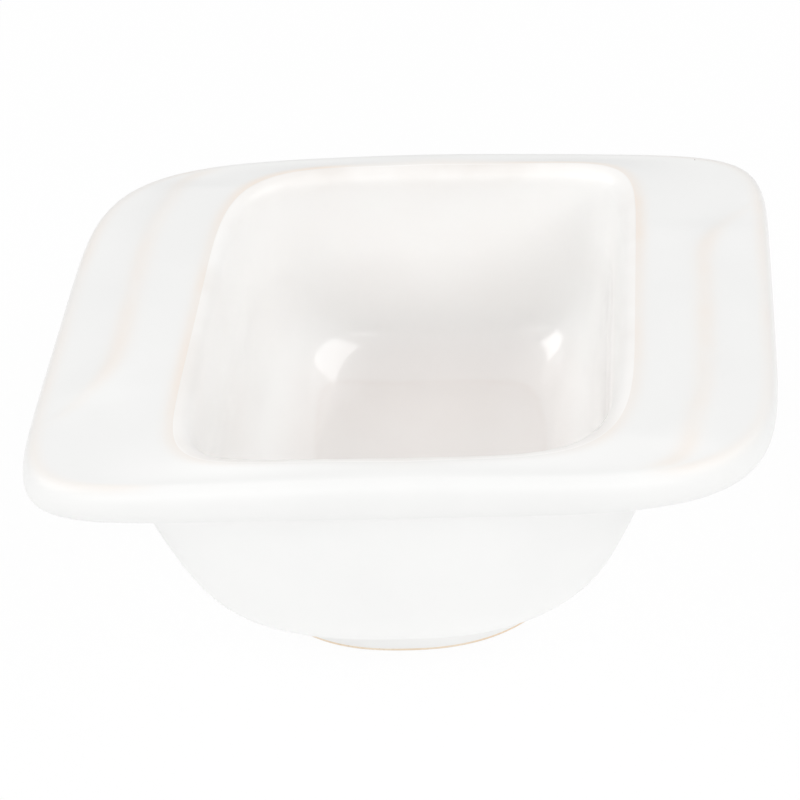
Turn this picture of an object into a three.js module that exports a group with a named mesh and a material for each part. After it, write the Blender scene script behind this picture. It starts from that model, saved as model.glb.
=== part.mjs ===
// Glazed ceramic condiment dish: a square well with two rippled side wings, on a low foot ring.
// Millimetres, +Z up, standing face at z = 0, wings along X. The plan repeats after half a turn about Z,
// apart from the well's floor, which lies a little to the right.
import * as THREE from "three";

// Whole dish
const HEIGHT = 50; // standing face to mouth crest
const LEAN = 0.097; // sideways lean of every outline, per millimetre of depth
const SHARP = 8.5; // fullness of the two tight corners, front left and back right
const ROUND = 4.9; // fullness of the two easy corners, front right and back left
const GLAZE = 0.6; // thickness of every glaze coat
const GLAZE_END = 0.12; // thickness where a coat feathers out at a glaze line

// Mouth and well
const MOUTH_X = 33.3; // half width at the mouth crest
const MOUTH_Y = 34.65; // half depth at the mouth crest
const LIP_ROLL = 2.4; // radius of the lip on the well side
const LIP_TURN = 75; // degrees the lip turns before the wall takes over
const WELL_DEPTH = 37.8; // mouth crest to floor
const FLOOR_X = 20.1; // half width of the flat floor
const FLOOR_Y = 21.9; // half depth of the flat floor
const FLOOR_SHIFT = 1.4; // floor's middle to the right of the mouth's
const WELL_TAPER = 0.3; // share of the inset taken evenly down the wall
const WELL_BEND = 4.5; // higher turns the wall into the floor more tightly

// Rim and wings
const WING_REACH = 20.25; // mouth crest to outer crest, across a wing
const BRIM_REACH = 2.85; // mouth crest to outer crest, front and back
const EDGE_ROLL_X = 1.6; // outer crest to the widest line, across a wing
const EDGE_ROLL_Y = 2.3; // outer crest to the widest line, front and back
const EDGE_DROP = 1.85; // outer crest of a wing below the mouth crest
const WIDEST_DROP = 6.5; // widest line below the mouth crest
const LOWER_ROLL = 0.7; // radius under the widest line
const RIDGE_PLACE = 0.527; // mid ridge, as a share of the way from mouth crest to outer crest
const RIDGE_FLARE = 0.95; // the same share where the ridge has run out to the edge of a tip
const FLARE_START = 22; // degrees from the middle of a wing at which the ridge starts to run out to a tip
const FLARE_END = 36; // degrees at which it has run out
const FLARE_BEND = 3; // higher keeps the ridge straight for longer before it swings out
const RETURN_START = 121; // degrees, past the tip and the brim, at which it leaves the edge again
const RETURN_END = 145; // degrees at which it is back in place on the other wing
const SCOOP = 0.08; // hollow between two crests, as a share of its width
const TIP_SCOOP = 0.03; // the same share on the flatter ground of a tip

// Outside of the bowl
const SHOULDER_X = 5.6; // outer wall beyond the mouth crest, under a wing
const SHOULDER_Y = 2.9; // outer wall beyond the mouth crest, front and back
const SHOULDER_DROP = 9.8; // crease under the rim, below the mouth crest
const BODY_TAPER = 0.475; // share of the inset taken evenly down the outer wall
const BODY_BEND = 16; // higher turns the outer wall under more tightly

// Foot ring
const FOOT_REACH = 27.2; // half width at the glaze line
const FOOT_ROUND = 2.36; // fullness of the foot's outline
const FOOT_HEIGHT = 4.7; // standing face to the crease under the bowl
const FOOT_FLARE = 0.8; // the foot narrows by this much towards the bowl
const FOOT_WIDTH = 6; // across the ring at the glaze line
const FOOT_EDGE = 0.35; // bevel of the bare standing edge
const GLAZE_LINE = 0.8; // bare clay below this height
const RECESS_RISE = 1.3; // ceiling inside the ring, above the crease under the bowl

// Places of the outlines along each stretch of the surface, as shares of the stretch
const FLOOR_MIDDLE = 0.5;
const WALL_STOPS = [1, 0.97, 0.92, 0.84, 0.7, 0.45, 0];
const LIP_STOPS = [1, 0.65, 0.3];
const INNER_HOLLOW_STOPS = [0.25, 0.5, 0.75, 1];
const OUTER_HOLLOW_STOPS = [0.3, 0.7, 1];
const EDGE_STOPS = [0.4, 0.72, 1];
const LOWER_STOPS = [0.5, 1];
const UNDERSIDE_STOPS = [0.4, 0.75];
const BODY_STOPS = [0, 0.35, 0.65, 0.82, 0.91, 0.96, 0.985, 1];
const RECESS_MIDDLE = 0.5;
const RECESS_CEILING = 0.94;

// Points round each outline, crowded towards the corners
const AROUND = 56;
const CORNER_CROWDING = 0.5;
const angles = Array.from({ length: AROUND }, (_, i) => {
  const even = (2 * Math.PI * i) / AROUND;
  return even + (CORNER_CROWDING / 4) * Math.sin(4 * even);
});

// One level outline: a full-cornered oval whose two pairs of opposite corners differ
function outline(reachX, reachY, z, { sharp = SHARP, round = ROUND, shift = 0 } = {}) {
  return angles.map((angle) => {
    const c = Math.cos(angle);
    const s = Math.sin(angle);
    const n = c * s > 0 ? sharp : round;
    const r = (Math.abs(c) ** n + Math.abs(s) ** n) ** (-1 / n);
    const y = reachY * r * s;
    return new THREE.Vector3(reachX * r * c + LEAN * y + shift, y, z);
  });
}

const footOutline = (reach, z) => outline(reach, reach, z, { sharp: FOOT_ROUND, round: FOOT_ROUND });
const level = (loop, z) => loop.map((p) => new THREE.Vector3(p.x, p.y, z));
const mix = THREE.MathUtils.lerp;
const rad = THREE.MathUtils.degToRad;

// Share of a wall's inset reached at share u of its height: an even taper, then a bend
const insetShare = (u, taper, bend) => taper * u + (1 - taper) * u ** bend;

// Well: floor, wall and the inner side of the lip
const lipInset = LIP_ROLL * Math.sin(rad(LIP_TURN));
const lipDrop = LIP_ROLL * (1 - Math.cos(rad(LIP_TURN)));
const floorZ = HEIGHT - WELL_DEPTH;
const creaseZ = HEIGHT - SHOULDER_DROP;
const seatZ = creaseZ + GLAZE;
const seatShare = (HEIGHT - lipDrop - seatZ) / (WELL_DEPTH - lipDrop);

function wellWall(u) {
  const inset = insetShare(u, WELL_TAPER, WELL_BEND);
  return outline(
    mix(MOUTH_X - lipInset, FLOOR_X, inset),
    mix(MOUTH_Y - lipInset, FLOOR_Y, inset),
    mix(HEIGHT - lipDrop, floorZ, u),
    { shift: FLOOR_SHIFT * inset },
  );
}

function lip(share) {
  const turn = rad(LIP_TURN * share);
  const inset = LIP_ROLL * Math.sin(turn);
  const drop = LIP_ROLL * (1 - Math.cos(turn));
  return outline(MOUTH_X - inset, MOUTH_Y - inset, HEIGHT - drop);
}

const floorMiddle = outline(FLOOR_X * FLOOR_MIDDLE, FLOOR_Y * FLOOR_MIDDLE, floorZ, {
  shift: FLOOR_SHIFT,
});
const wellLoops = [
  floorMiddle,
  ...WALL_STOPS.map((stop) => wellWall(mix(seatShare, 1, stop))),
  ...LIP_STOPS.map(lip),
];

// Rim: crests, the hollows between them, the rolled edge and the underside
const mouth = outline(MOUTH_X, MOUTH_Y, HEIGHT);
const crestX = MOUTH_X + WING_REACH;
const crestY = MOUTH_Y + BRIM_REACH;
const widestX = crestX + EDGE_ROLL_X;
const widestY = crestY + EDGE_ROLL_Y;
const widestZ = HEIGHT - WIDEST_DROP;
const widest = outline(widestX, widestY, widestZ);
const crest = outline(crestX, crestY, HEIGHT);
crest.forEach((p, i) => {
  p.z -= (EDGE_DROP * p.distanceTo(mouth[i])) / WING_REACH;
});

// How far the ridge has run out to the edge: 0 along a wing, 1 on the tips and along the brim
const flare = angles.map((angle) => {
  const fromWing = THREE.MathUtils.radToDeg(angle) % 180;
  const out = THREE.MathUtils.clamp((fromWing - FLARE_START) / (FLARE_END - FLARE_START), 0, 1);
  return out ** FLARE_BEND * (1 - THREE.MathUtils.smoothstep(fromWing, RETURN_START, RETURN_END));
});
const ridge = flare.map((share) => mix(RIDGE_PLACE, RIDGE_FLARE, share));

// A loop on the rim's top: hollow 0 lies between mouth and ridge, hollow 1 between ridge and outer crest.
// The ridge keeps the mouth's height along a wing and comes down to the outer crest as it runs out.
function rimTop(hollow, share) {
  return mouth.map((inner, i) => {
    const outer = crest[i];
    const from = hollow === 0 ? 0 : ridge[i];
    const to = hollow === 0 ? ridge[i] : 1;
    const ridgeZ = mix(HEIGHT, outer.z, (ridge[i] - RIDGE_PLACE) / (1 - RIDGE_PLACE));
    const chordZ = hollow === 0 ? mix(HEIGHT, ridgeZ, share) : mix(ridgeZ, outer.z, share);
    const width = Math.hypot(outer.x - inner.x, outer.y - inner.y) * (to - from);
    const p = inner.clone().lerp(outer, mix(from, to, share));
    const scoop = mix(SCOOP, TIP_SCOOP, flare[i]);
    p.z = chordZ - 4 * scoop * width * share * (1 - share);
    return p;
  });
}

function edgeRoll(share) {
  const out = Math.sin(rad(90 * share));
  const down = 1 - Math.cos(rad(90 * share));
  return crest.map((p, i) => {
    const q = p.clone().lerp(widest[i], out);
    q.z = mix(p.z, widestZ, down);
    return q;
  });
}

function lowerRoll(share) {
  const inset = LOWER_ROLL * (1 - Math.cos(rad(90 * share)));
  const drop = LOWER_ROLL * Math.sin(rad(90 * share));
  return outline(widestX - inset, widestY - inset, widestZ - drop);
}

const shoulderX = MOUTH_X + SHOULDER_X;
const shoulderY = MOUTH_Y + SHOULDER_Y;
function underside(share) {
  return outline(
    mix(widestX - LOWER_ROLL, shoulderX, share),
    mix(widestY - LOWER_ROLL, shoulderY, share),
    mix(widestZ - LOWER_ROLL, creaseZ, share ** 2),
  );
}

const rimLoops = [
  ...INNER_HOLLOW_STOPS.map((share) => rimTop(0, share)),
  ...OUTER_HOLLOW_STOPS.map((share) => rimTop(1, share)),
  ...EDGE_STOPS.map(edgeRoll),
  ...LOWER_STOPS.map(lowerRoll),
  ...UNDERSIDE_STOPS.map(underside),
];

// Outside of the bowl, from the crease under the rim to the crease above the foot
const footTop = FOOT_REACH - FOOT_FLARE;
function bodyWall(u) {
  const inset = insetShare(u, BODY_TAPER, BODY_BEND);
  return outline(
    mix(shoulderX, footTop, inset),
    mix(shoulderY, footTop, inset),
    mix(creaseZ, FOOT_HEIGHT, u),
    { sharp: mix(SHARP, FOOT_ROUND, u), round: mix(ROUND, FOOT_ROUND, u) },
  );
}

const bodyLoops = BODY_STOPS.map(bodyWall);
const footGlazeEnd = footOutline(FOOT_REACH, GLAZE_LINE);

// Outward directions on a run of loops, each vertex from its four neighbours
function directions(loops) {
  return loops.map((loop, k) =>
    loop.map((p, i) => {
      const before = loops[Math.max(k - 1, 0)][i];
      const after = loops[Math.min(k + 1, loops.length - 1)][i];
      const along = after.clone().sub(before);
      const around = loop[(i + 1) % AROUND].clone().sub(loop[(i + AROUND - 1) % AROUND]);
      return along.cross(around).normalize();
    }),
  );
}

// The same run of loops moved a set depth below the surface
function sink(loops, depth) {
  const outward = directions(loops);
  return loops.map((loop, k) => loop.map((p, i) => p.clone().addScaledVector(outward[k][i], -depth)));
}

// Glazed surface from the middle of the floor over the rim to the glaze line, and the clay under it
const surface = [...wellLoops, mouth, ...rimLoops, ...bodyLoops, footGlazeEnd];
const clay = sink(surface, GLAZE);
const seatAt = WALL_STOPS.length;
const mouthAt = wellLoops.length;
const creaseAt = mouthAt + rimLoops.length + 1;
const footAt = creaseAt + bodyLoops.length - 1;
const footSeatZ = FOOT_HEIGHT + GLAZE;
clay[seatAt] = level(clay[seatAt], seatZ);
clay[creaseAt] = level(clay[creaseAt], seatZ);
clay[footAt] = level(clay[footAt], footSeatZ);
clay[clay.length - 1] = footOutline(FOOT_REACH - GLAZE_END, GLAZE_LINE);

// Underneath: the recess inside the foot ring, from its middle to the inner glaze line
const recessReach = FOOT_REACH - FOOT_WIDTH;
const ceilingZ = FOOT_HEIGHT + RECESS_RISE;
const recess = [
  footOutline(recessReach * RECESS_MIDDLE, ceilingZ),
  footOutline(recessReach * RECESS_CEILING, ceilingZ),
  footOutline(recessReach, footSeatZ),
  footOutline(recessReach, GLAZE_LINE),
];
const recessClay = sink(recess, -GLAZE);
const RECESS_SEAT = 2;
recessClay[RECESS_SEAT] = level(recessClay[RECESS_SEAT], footSeatZ);
recessClay[recessClay.length - 1] = footOutline(recessReach + GLAZE_END, GLAZE_LINE);

// Bare standing edge of the foot: a short upright, a bevel, the standing face and the same again inside
const bareOuter = FOOT_REACH - GLAZE_END;
const bareInner = recessReach + GLAZE_END;
const standing = [
  footOutline(bareOuter, FOOT_EDGE),
  footOutline(bareOuter - FOOT_EDGE, 0),
  footOutline(bareInner + FOOT_EDGE, 0),
  footOutline(bareInner, FOOT_EDGE),
];

// A closed solid skinned over loops: end to end when it is a ring, or closed by a fan at each end.
// Each facet is split along its shorter diagonal, so two pieces that share loops share the same facets.
function skin(loops, ring) {
  const points = loops.flat();
  const index = [];
  const spans = ring ? loops.length : loops.length - 1;
  for (let k = 0; k < spans; k++) {
    const here = k * AROUND;
    const next = ((k + 1) % loops.length) * AROUND;
    for (let i = 0; i < AROUND; i++) {
      const j = (i + 1) % AROUND;
      const [a, b, c, d] = [here + i, next + i, next + j, here + j];
      const forward = points[a].distanceToSquared(points[c]);
      const backward = points[b].distanceToSquared(points[d]);
      index.push(...(forward < backward ? [a, b, c, a, c, d] : [a, b, d, b, c, d]));
    }
  }
  if (!ring) {
    const last = (loops.length - 1) * AROUND;
    const top = points.push(new THREE.Vector3(0, 0, loops[0][0].z)) - 1;
    const bottom = points.push(new THREE.Vector3(0, 0, loops.at(-1)[0].z)) - 1;
    for (let i = 0; i < AROUND; i++) {
      const j = (i + 1) % AROUND;
      index.push(top, i, j);
      index.push(bottom, last + j, last + i);
    }
  }
  const geometry = new THREE.BufferGeometry().setFromPoints(points);
  geometry.setIndex(index);
  geometry.computeVertexNormals();
  return geometry;
}

const run = (loops, first, last) => loops.slice(first, last + 1);
const back = (loops) => [...loops].reverse();
const footEnd = surface.length - 1;

const bowl = skin(
  [
    ...run(clay, 0, seatAt),
    ...run(clay, creaseAt, footAt),
    ...back(run(recessClay, 0, RECESS_SEAT)),
  ],
  false,
);
const rim = skin(run(clay, seatAt, creaseAt), true);
const footRing = skin(
  [...run(clay, footAt, footEnd), ...standing, ...back(recessClay.slice(RECESS_SEAT))],
  true,
);
const linerGlaze = skin([...run(surface, 0, mouthAt), ...back(run(clay, 0, mouthAt))], false);
const outerGlaze = skin([...surface.slice(mouthAt), ...back(clay.slice(mouthAt))], true);
const baseGlaze = skin([...recessClay, ...back(recess)], false);

// Finishes
const finish = (color, roughness) => new THREE.MeshStandardMaterial({ color, roughness, metalness: 0 });
const bareClay = finish(0xc8a27c, 0.88);
const glossGlaze = finish(0xf3f1ed, 0.12);
const satinGlaze = finish(0xf4f4f3, 0.3);

const dish = new THREE.Group();
dish.name = "ceramic_dish";
const pieces = [
  ["bowl", bowl, bareClay],
  ["rim", rim, bareClay],
  ["foot_ring", footRing, bareClay],
  ["liner_glaze", linerGlaze, glossGlaze],
  ["outer_glaze", outerGlaze, satinGlaze],
  ["base_glaze", baseGlaze, satinGlaze],
];
for (const [name, geometry, material] of pieces) {
  const mesh = new THREE.Mesh(geometry, material);
  mesh.name = name;
  dish.add(mesh);
}

export default dish;
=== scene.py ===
"""Glazed ceramic dish with a square well and two rippled wings, dressed for a studio picture.

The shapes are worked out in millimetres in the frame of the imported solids: +Z up, the standing
face at z = 0, the wings along X. Blender objects are made in metres.
"""

import logging
import math
from dataclasses import dataclass, field
from enum import Enum
from typing import Any, Callable, Optional, Sequence, Union

import bpy
import numpy as np
from mathutils import Matrix, Vector


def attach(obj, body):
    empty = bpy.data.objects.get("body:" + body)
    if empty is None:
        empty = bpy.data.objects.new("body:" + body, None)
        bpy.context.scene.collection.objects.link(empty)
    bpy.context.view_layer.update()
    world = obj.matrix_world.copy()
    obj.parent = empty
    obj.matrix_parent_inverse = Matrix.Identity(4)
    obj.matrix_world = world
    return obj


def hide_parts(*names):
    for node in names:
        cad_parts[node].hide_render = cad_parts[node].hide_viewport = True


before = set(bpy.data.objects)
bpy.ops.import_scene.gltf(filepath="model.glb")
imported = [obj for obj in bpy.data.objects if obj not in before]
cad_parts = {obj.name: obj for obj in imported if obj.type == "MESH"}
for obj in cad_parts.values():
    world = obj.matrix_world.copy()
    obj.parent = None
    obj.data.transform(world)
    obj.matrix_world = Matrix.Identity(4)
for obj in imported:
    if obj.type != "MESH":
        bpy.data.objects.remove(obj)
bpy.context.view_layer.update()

MM = 0.001
QUARTER_TURN = 90.0
HALF_TURN = 180.0
TINY = 1e-9
END_ROWS = 24  # rows mirrored past each end of a surface while it is softened
NOISE_MIDDLE = 0.5
WHITE = (1.0, 1.0, 1.0, 1.0)
log = logging.getLogger("dish")

Loop = np.ndarray  # [around, xyz] one closed outline
Rows = np.ndarray  # [rows, around, xyz] outlines one after another over a surface
Colour = tuple[float, float, float]
Place = tuple[float, float, float]
Span = tuple[float, float]  # a low and a high end
Settings = dict[str, Any]
Sockets = dict[Union[str, int], Any]
Value = Union["Wire", float]


class Slot(Enum):
    """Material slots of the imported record."""

    CLAY = "clay"
    GLOSS = "gloss_glaze"
    SATIN = "satin_glaze"


class Ends(Enum):
    """How a run of outlines closes into a solid."""

    RING = "ring"
    FANS = "fans"


def srgb(red: int, green: int, blue: int) -> Colour:
    """Turns a colour written in 0 to 255 steps into scene-linear values.

    Args:
        red: Red step.
        green: Green step.
        blue: Blue step.

    Returns:
        The three linear channels.
    """

    def linear(step: int) -> float:
        """Turns one channel into its linear value."""
        share = step / 255
        return share / 12.92 if share <= 0.04045 else ((share + 0.055) / 1.055) ** 2.4

    return linear(red), linear(green), linear(blue)


def mix(start: Any, end: Any, share: Any) -> Any:
    """Goes a share of the way from start to end."""
    return start + (end - start) * share


def ease(low: float, high: float, value: np.ndarray) -> np.ndarray:
    """Rises smoothly from 0 at low to 1 at high."""
    share = np.clip((value - low) / (high - low), 0, 1)
    return share * share * (3 - 2 * share)


def lengths_along(rows: Rows) -> np.ndarray:
    """Measures how far along its column each point lies.

    Args:
        rows: Outlines over a surface.

    Returns:
        Distance from the first row, [rows, around].
    """
    steps = np.linalg.norm(np.diff(rows, axis=0), axis=2)
    return np.concatenate([np.zeros((1, rows.shape[1])), np.cumsum(steps, axis=0)])


def spread_evenly(rows: Rows, count: int) -> Rows:
    """Replaces rows by others that are evenly spaced along every column.

    Args:
        rows: Closely spaced outlines over a surface.
        count: Rows wanted, both ends included.

    Returns:
        The new rows.
    """
    along = lengths_along(rows)
    along = along / along[-1]
    wanted = np.linspace(0, 1, count)
    even = np.empty((count, rows.shape[1], 3))
    for column in range(rows.shape[1]):
        for axis in range(3):
            even[:, column, axis] = np.interp(wanted, along[:, column], rows[:, column, axis])
    return even


def melt(rows: Rows, softness: np.ndarray) -> Rows:
    """Rounds every edge along the columns, as a glaze does when it flows.

    Args:
        rows: Outlines over a surface.
        softness: Reach of the rounding at each row, in millimetres.

    Returns:
        Softened rows, with the first and last kept in place.
    """
    pad = min(END_ROWS, len(rows) - 1)
    before = 2 * rows[:1] - rows[pad:0:-1]
    after = 2 * rows[-1:] - rows[-2:-2 - pad:-1]
    longer = np.concatenate([before, rows, after])
    along = lengths_along(longer)
    soft = rows.copy()
    for column in range(rows.shape[1]):
        place = along[:, column]
        share = np.gradient(place)
        apart = (place[None, :] - place[pad:-pad, None]) / softness[:, None]
        weight = np.exp(-0.5 * apart**2) * share[None, :]
        soft[:, column] = weight @ longer[:, column] / weight.sum(axis=1, keepdims=True)
    return soft


def facing(rows: Rows, ring: bool = False) -> np.ndarray:
    """Finds the outward direction at every point from its neighbours.

    Args:
        rows: Outlines over a surface.
        ring: Whether the last row joins the first.

    Returns:
        Unit directions, [rows, around, xyz].
    """
    if ring:
        along = np.roll(rows, -1, axis=0) - np.roll(rows, 1, axis=0)
    else:
        along = np.gradient(rows, axis=0)
    across = np.roll(rows, -1, axis=1) - np.roll(rows, 1, axis=1)
    out = np.cross(along, across)
    return out / np.maximum(np.linalg.norm(out, axis=2, keepdims=True), TINY)


@dataclass(frozen=True)
class DishForm:
    """Every outline of the dish in millimetres.

    The sizes are those of the solids, but the well's walls and floor and the ridge and hollows of
    the rim are drawn closer to the picture: steeper walls, rounder floor corners, shallower hollows.
    """

    # Whole dish
    height: float = 50.0
    lean: float = 0.097
    sharp: float = 8.5
    rounded: float = 4.9
    glaze: float = 0.6
    # Mouth and lip
    mouth_x: float = 33.3
    mouth_y: float = 34.65
    lip_roll: float = 2.4
    lip_turn: float = 75.0
    lip_wall_share: float = 0.6
    # Well
    well_depth: float = 37.8
    floor_x: float = 19.3
    floor_y: float = 22.8
    floor_shift: float = 2.1
    floor_sharp: float = 3.8
    floor_rounded: float = 3.2
    rounding_bend: float = 3.0
    side_taper: float = 0.25
    side_bend: float = 5.5
    back_taper: float = 0.06
    back_bend: float = 12.5
    # Rim and wings
    wing_reach: float = 20.25
    brim_reach: float = 2.85
    edge_roll_x: float = 1.6
    edge_roll_y: float = 2.3
    edge_drop: float = 1.85
    widest_drop: float = 6.5
    lower_roll: float = 0.7
    ridge_place: float = 0.527
    ridge_flare: float = 0.95
    flare_start: float = 11.0
    flare_end: float = 33.5
    flare_bend: float = 3.0
    return_start: float = 121.0
    return_end: float = 145.0
    ridge_rise: float = 0.85
    ridge_fade: float = 0.6
    scoop: float = 0.055
    tip_scoop: float = 0.02
    scoop_fade: float = 0.35
    # Outer wall, foot and recess
    shoulder_x: float = 5.6
    shoulder_y: float = 2.9
    shoulder_drop: float = 9.8
    body_taper: float = 0.475
    body_bend: float = 16.0
    foot_reach: float = 27.2
    foot_round: float = 2.36
    foot_height: float = 4.7
    foot_flare: float = 0.8
    foot_width: float = 6.0
    foot_edge: float = 0.35
    glaze_line: float = 0.8
    glaze_end: float = 0.12
    recess_rise: float = 1.3
    recess_share: float = 0.94
    # Points of an outline
    around: int = 240
    corners: int = 4
    crowding: float = 0.5
    middle_share: float = 0.06

    @property
    def angles(self) -> np.ndarray:
        """Angles of the points round an outline, crowded towards the corners."""
        even = np.arange(self.around) * (2 * math.pi / self.around)
        return even + self.crowding / self.corners * np.sin(self.corners * even)

    @property
    def floor_z(self) -> float:
        """Height of the well's floor."""
        return self.height - self.well_depth

    @property
    def crease_z(self) -> float:
        """Height of the crease under the rim."""
        return self.height - self.shoulder_drop

    @property
    def seat_z(self) -> float:
        """Level at which the rim's clay sits on the bowl's."""
        return self.crease_z + self.glaze

    @property
    def foot_seat_z(self) -> float:
        """Level at which the bowl's clay sits on the foot ring."""
        return self.foot_height + self.glaze

    @property
    def wall_top(self) -> float:
        """Height at which the lip's roll meets the well's wall."""
        return self.height - self.lip_roll * (1 - math.cos(math.radians(self.lip_turn)))

    def outline(
        self,
        reach_x: float,
        reach_y: float,
        z: float,
        fullness: Optional[Span] = None,
        shift: float = 0.0,
    ) -> Loop:
        """Draws one level outline, a full-cornered oval that leans sideways.

        Args:
            reach_x: Half width.
            reach_y: Half depth.
            z: Height.
            fullness: Fullness of the tight and the easy corners, or None for the dish's own.
            shift: How far its middle lies to the right.

        Returns:
            The outline's points.
        """
        sharp, rounded = fullness or (self.sharp, self.rounded)
        c, s = np.cos(self.angles), np.sin(self.angles)
        n = np.where(c * s > 0, sharp, rounded)
        r = (np.abs(c) ** n + np.abs(s) ** n) ** (-1 / n)
        y = reach_y * r * s
        x = reach_x * r * c + self.lean * y + shift
        return np.stack([x, y, np.full(self.around, z)], axis=1)

    def foot_outline(self, reach: float, z: float) -> Loop:
        """Draws an outline of the foot."""
        return self.outline(reach, reach, z, (self.foot_round, self.foot_round))

    def floor(self, share: float) -> Loop:
        """Draws an outline on the well's floor, a share of the way out from its middle."""
        reach_x, reach_y = self.floor_x * share, self.floor_y * share
        fullness = (self.floor_sharp, self.floor_rounded)
        return self.outline(reach_x, reach_y, self.floor_z, fullness, self.floor_shift)

    def well_wall(self, down: float) -> Loop:
        """Draws the well's wall a share of the way down from the lip."""
        lip_inset = self.lip_roll * math.sin(math.radians(self.lip_turn))
        side = self.side_taper * down + (1 - self.side_taper) * down**self.side_bend
        back = self.back_taper * down + (1 - self.back_taper) * down**self.back_bend
        eased = down**self.rounding_bend
        return self.outline(
            mix(self.mouth_x - lip_inset, self.floor_x, side),
            mix(self.mouth_y - lip_inset, self.floor_y, back),
            mix(self.wall_top, self.floor_z, down),
            (mix(self.sharp, self.floor_sharp, eased), mix(self.rounded, self.floor_rounded, eased)),
            self.floor_shift * side,
        )

    def seat_share(self) -> float:
        """Says how far down the well's wall the rim's seat lies."""
        return (self.wall_top - self.seat_z) / (self.wall_top - self.floor_z)

    def lip(self, share: float) -> Loop:
        """Draws the lip's inner side, from the mouth crest at 0 to the wall at 1."""
        turn = math.radians(self.lip_turn * share)
        inset = self.lip_roll * math.sin(turn)
        drop = self.lip_roll * (1 - math.cos(turn))
        return self.outline(self.mouth_x - inset, self.mouth_y - inset, self.height - drop)

    def mouth(self) -> Loop:
        """Draws the crest round the mouth."""
        return self.outline(self.mouth_x, self.mouth_y, self.height)

    def crest(self) -> Loop:
        """Draws the crest along the rim's outer edge, which drops towards the wings."""
        crest = self.outline(self.mouth_x + self.wing_reach, self.mouth_y + self.brim_reach, self.height)
        away = np.linalg.norm(crest - self.mouth(), axis=1)
        crest[:, 2] -= self.edge_drop * away / self.wing_reach
        return crest

    def flare(self) -> np.ndarray:
        """Says how far the mid ridge has run out: 0 along a wing, 1 on the tips and the brim.

        Returns:
            The share at each angle round the dish.
        """
        from_wing = np.degrees(self.angles) % HALF_TURN
        out = np.clip((from_wing - self.flare_start) / (self.flare_end - self.flare_start), 0, 1)
        return out**self.flare_bend * (1 - ease(self.return_start, self.return_end, from_wing))

    def ridge_share(self) -> np.ndarray:
        """Says where the mid ridge lies between mouth and outer crest, all round."""
        return mix(self.ridge_place, self.ridge_flare, self.flare())

    def wing_width(self) -> np.ndarray:
        """Measures the rim's top from mouth crest to outer crest, all round."""
        return np.linalg.norm((self.crest() - self.mouth())[:, :2], axis=1)

    def rim_top(self, hollow: int, share: float) -> Loop:
        """Draws an outline on the rim's top.

        Args:
            hollow: 0 between mouth and ridge, 1 between ridge and outer crest.
            share: How far across that hollow.

        Returns:
            The outline's points.
        """
        inner, outer, ridge = self.mouth(), self.crest(), self.ridge_share()
        ridge_z = mix(self.height, outer[:, 2], ridge)
        ridge_z += self.ridge_rise * (1 - ease(0, self.ridge_fade, self.flare()))
        if hollow == 0:
            start, end, chord = 0 * ridge, ridge, mix(self.height, ridge_z, share)
        else:
            start, end, chord = ridge, 0 * ridge + 1, mix(ridge_z, outer[:, 2], share)
        top = mix(inner, outer, mix(start, end, share)[:, None])
        width = self.wing_width() * (end - start)
        scoop = mix(self.scoop, self.tip_scoop, ease(0, self.scoop_fade, self.flare()))
        top[:, 2] = chord - 4 * scoop * width * share * (1 - share)
        return top

    def widest(self, inset: float, drop: float) -> Loop:
        """Draws the rim's widest line, moved in and down."""
        return self.outline(
            self.mouth_x + self.wing_reach + self.edge_roll_x - inset,
            self.mouth_y + self.brim_reach + self.edge_roll_y - inset,
            self.height - self.widest_drop - drop,
        )

    def edge_roll(self, share: float) -> Loop:
        """Draws the rim's edge, from the outer crest at 0 to the widest line at 1."""
        turn = math.radians(QUARTER_TURN * share)
        crest, widest = self.crest(), self.widest(0, 0)
        edge = mix(crest, widest, math.sin(turn))
        edge[:, 2] = mix(crest[:, 2], widest[:, 2], 1 - math.cos(turn))
        return edge

    def lower_edge(self, share: float) -> Loop:
        """Draws the rounding below the widest line, from 0 to 1."""
        turn = math.radians(QUARTER_TURN * share)
        return self.widest(self.lower_roll * (1 - math.cos(turn)), self.lower_roll * math.sin(turn))

    def underside(self, share: float) -> Loop:
        """Draws the rim's underside, from the rolled edge at 0 to the crease at 1."""
        edge_x = self.mouth_x + self.wing_reach + self.edge_roll_x - self.lower_roll
        edge_y = self.mouth_y + self.brim_reach + self.edge_roll_y - self.lower_roll
        edge_z = self.height - self.widest_drop - self.lower_roll
        return self.outline(
            mix(edge_x, self.mouth_x + self.shoulder_x, share),
            mix(edge_y, self.mouth_y + self.shoulder_y, share),
            mix(edge_z, self.crease_z, share**2),
        )

    def body_wall(self, down: float) -> Loop:
        """Draws the bowl's outer wall, from the crease under the rim to the one above the foot."""
        inset = self.body_taper * down + (1 - self.body_taper) * down**self.body_bend
        foot_top = self.foot_reach - self.foot_flare
        fullness = (mix(self.sharp, self.foot_round, down), mix(self.rounded, self.foot_round, down))
        return self.outline(
            mix(self.mouth_x + self.shoulder_x, foot_top, inset),
            mix(self.mouth_y + self.shoulder_y, foot_top, inset),
            mix(self.crease_z, self.foot_height, down),
            fullness,
        )

    def foot_wall(self, down: float) -> Loop:
        """Draws the foot's outer wall, from the crease above it to the glaze line."""
        reach = mix(self.foot_reach - self.foot_flare, self.foot_reach, down)
        return self.foot_outline(reach, mix(self.foot_height, self.glaze_line, down))


@dataclass(frozen=True)
class Stretch:
    """One run of a surface between two lines of the dish."""

    draw: Callable[[float], Loop]
    rows: int
    softness: float = 0.0
    samples: int = 90

    def build(self) -> Rows:
        """Draws the run with its own number of evenly spread rows."""
        fine = np.stack([self.draw(share) for share in np.linspace(0, 1, self.samples)])
        return spread_evenly(fine, self.rows)


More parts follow.
